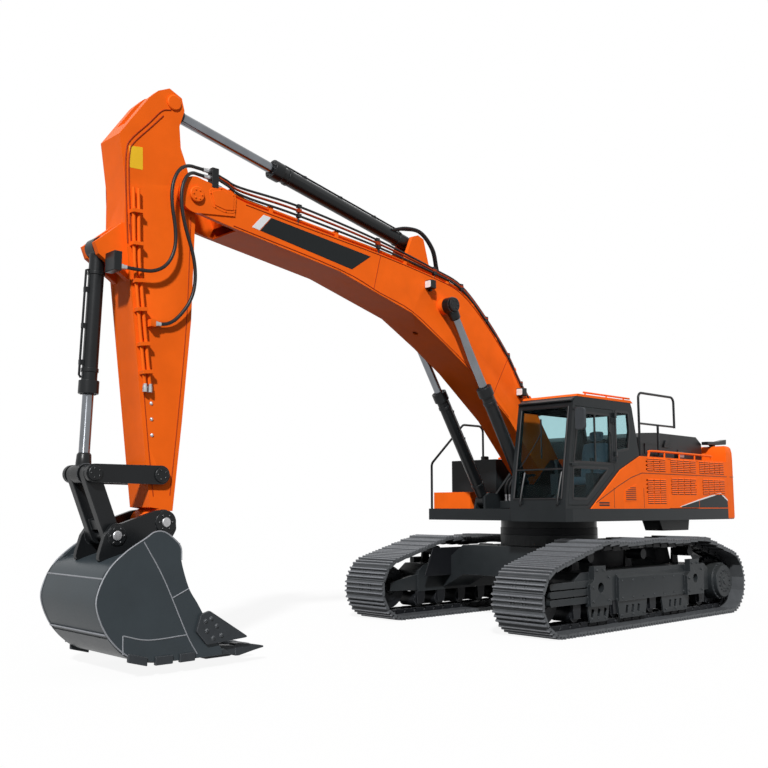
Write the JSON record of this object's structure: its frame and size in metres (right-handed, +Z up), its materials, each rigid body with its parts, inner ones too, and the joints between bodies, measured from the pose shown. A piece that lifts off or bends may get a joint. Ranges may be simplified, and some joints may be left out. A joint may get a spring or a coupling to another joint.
{
  "type": "crawler excavator",
  "caption": "Crawler excavator: tracked undercarriage, swinging house with cab and counterweight, and a boom, arm and bucket worked by hydraulic cylinders.",
  "frame": {"origin": "on the ground under the swing axis", "axes": "+X forward towards the bucket, +Y to the operator's left, +Z up"},
  "size_m": [11.495, 3.72, 6.36],
  "materials": {
    "orange_paint": "gloss",
    "dark_paint": "satin",
    "black_paint": "satin",
    "frame_paint": "satin",
    "track_steel": "matte",
    "engine_metal": "matte",
    "cab_glass": "polished",
    "seat_fabric": "matte",
    "trim_plastic": "matte",
    "rod_chrome": "polished",
    "bucket_steel": "satin",
    "hose_rubber": "matte",
    "tooth_steel": "satin"
  },
  "bodies": {
    "undercarriage": {"carbody": "frame_paint", "swing_bearing": "track_steel", "track_left": "track_steel", "track_right": "track_steel", "track_frame_left": "frame_paint", "track_frame_right": "frame_paint", "rollers_left": "track_steel", "rollers_right": "track_steel", "idler_left": "track_steel", "idler_right": "track_steel", "drive_wheel_left": "track_steel", "drive_wheel_right": "track_steel", "drive_drum_left": "track_steel", "drive_drum_right": "track_steel"},
    "house": {"swing_frame": "dark_paint", "counterweight": "orange_paint", "engine_block": "engine_metal", "top_deck": "orange_paint", "side_panel_left": "orange_paint", "side_panel_right": "orange_paint", "fuel_tank": "orange_paint", "tool_box": "orange_paint", "handrail_left": "black_paint", "handrail_right": "black_paint", "exhaust": "black_paint", "cab_shell": "dark_paint", "cab_glass": "cab_glass", "operator_seat": "seat_fabric", "cab_controls": "trim_plastic", "rear_panel_left": "orange_paint", "rear_panel_right": "orange_paint", "cab_roof": "orange_paint", "mirror": "trim_plastic"},
    "hood": {"engine_hood": "black_paint"},
    "bay_door_left": {"side_door_left": "orange_paint"},
    "bay_door_right": {"side_door_right": "orange_paint"},
    "cab_door": {"cab_door": "dark_paint", "door_glass": "cab_glass"},
    "boom": {"boom": "orange_paint", "boom_pipes": "orange_paint", "hose_long": "hose_rubber", "hose_short": "hose_rubber"},
    "lift_barrel_left": {"lift_barrel_left": "black_paint"},
    "lift_barrel_right": {"lift_barrel_right": "black_paint"},
    "lift_rod_left": {"lift_rod_left": "rod_chrome"},
    "lift_rod_right": {"lift_rod_right": "rod_chrome"},
    "arm_barrel": {"arm_barrel": "black_paint"},
    "arm_rod": {"arm_rod": "rod_chrome"},
    "arm": {"arm": "orange_paint", "arm_pipes": "orange_paint"},
    "curl_barrel": {"curl_barrel": "black_paint"},
    "curl_rod": {"curl_rod": "rod_chrome"},
    "guide_link": {"guide_link": "black_paint"},
    "push_link": {"push_link": "black_paint"},
    "bucket": {"bucket": "bucket_steel", "bucket_teeth": "tooth_steel"}
  },
  "joints": [
    {"name": "swing", "type": "hinge", "parent": "undercarriage", "child": "house", "pos_m": [0, 0, 1.36], "axis": [0, 0, 1], "continuous": true},
    {"name": "boom_lift", "type": "hinge", "parent": "house", "child": "boom", "pos_m": [0.25, 0, 2.2], "axis": [0, -1, 0], "range_deg": [-48, 34]},
    {"name": "arm_swing", "type": "hinge", "parent": "boom", "child": "arm", "pos_m": [6.83, 0, 5.17], "axis": [0, 1, 0], "range_deg": [-60, 45], "deforming": ["hose_long", "hose_short"]},
    {"name": "bucket_curl", "type": "hinge", "parent": "arm", "child": "bucket", "pos_m": [7.081, 0, 1.517], "axis": [0, 1, 0], "range_deg": [-66, 95]},
    {"name": "cab_door_swing", "type": "hinge", "parent": "house", "child": "cab_door", "pos_m": [0.417, 1.545, 2.4], "axis": [0, 0, 1], "range_deg": [0, 160]},
    {"name": "bay_door_left_swing", "type": "hinge", "parent": "house", "child": "bay_door_left", "pos_m": [-1.05, 1.545, 2], "axis": [0, 0, -1], "range_deg": [0, 110]},
    {"name": "bay_door_right_swing", "type": "hinge", "parent": "house", "child": "bay_door_right", "pos_m": [-1.05, -1.545, 2], "axis": [0, 0, 1], "range_deg": [0, 110]},
    {"name": "hood_lift", "type": "hinge", "parent": "house", "child": "hood", "pos_m": [-0.8, 0, 2.45], "axis": [0, 1, 0], "range_deg": [0, 60]},
    {"name": "lift_tilt_left", "type": "hinge", "parent": "house", "child": "lift_barrel_left", "pos_m": [1.05, 0.44, 1.78], "axis": [0, -1, 0], "range_deg": [-53, 38]},
    {"name": "lift_slide_left", "type": "slide", "parent": "lift_barrel_left", "child": "lift_rod_left", "axis": [0.5328, 0, 0.8462], "range_m": [-0.7, 0.5]},
    {"name": "lift_tilt_right", "type": "hinge", "parent": "house", "child": "lift_barrel_right", "pos_m": [1.05, -0.44, 1.78], "axis": [0, -1, 0], "range_deg": [-53, 38]},
    {"name": "lift_slide_right", "type": "slide", "parent": "lift_barrel_right", "child": "lift_rod_right", "axis": [0.5328, 0, 0.8462], "range_m": [-0.7, 0.5]},
    {"name": "arm_ram_tilt", "type": "hinge", "parent": "boom", "child": "arm_barrel", "pos_m": [3.1, 0, 5.35], "axis": [0, 1, 0], "range_deg": [-8, 8]},
    {"name": "arm_ram_slide", "type": "slide", "parent": "arm_barrel", "child": "arm_rod", "axis": [0.9778, 0, 0.2096], "range_m": [-1.05, 0.8]},
    {"name": "curl_ram_tilt", "type": "hinge", "parent": "arm", "child": "curl_barrel", "pos_m": [7.83, 0, 4.42], "axis": [0, 1, 0], "range_deg": [-6, 6]},
    {"name": "curl_ram_slide", "type": "slide", "parent": "curl_barrel", "child": "curl_rod", "axis": [0.0287, 0, -0.9996], "range_m": [-0.55, 0.75]},
    {"name": "guide_link_turn", "type": "hinge", "parent": "arm", "child": "guide_link", "pos_m": [7.14, 0, 2.016], "axis": [0, 1, 0], "range_deg": [-50, 70]},
    {"name": "push_link_turn", "type": "hinge", "parent": "guide_link", "child": "push_link", "pos_m": [7.899, 0, 2.02], "axis": [0, 1, 0], "range_deg": [-60, 42]}
  ],
  "couplings": [
    {"joint": "lift_tilt_left", "follows": "boom_lift", "ratio": 1.0561},
    {"joint": "lift_slide_left", "follows": "boom_lift", "m_per_rad": 0.8066},
    {"joint": "lift_tilt_right", "follows": "boom_lift", "ratio": 1.0561},
    {"joint": "lift_slide_right", "follows": "boom_lift", "m_per_rad": 0.8066},
    {"joint": "arm_ram_tilt", "follows": "arm_swing", "ratio": 0.0902},
    {"joint": "arm_ram_slide", "follows": "arm_swing", "m_per_rad": 0.932},
    {"joint": "curl_ram_tilt", "follows": "bucket_curl", "ratio": 0.035},
    {"joint": "curl_ram_slide", "follows": "bucket_curl", "m_per_rad": 0.44},
    {"joint": "guide_link_turn", "follows": "bucket_curl", "ratio": 0.72},
    {"joint": "push_link_turn", "follows": "bucket_curl", "ratio": -0.6}
  ]
}
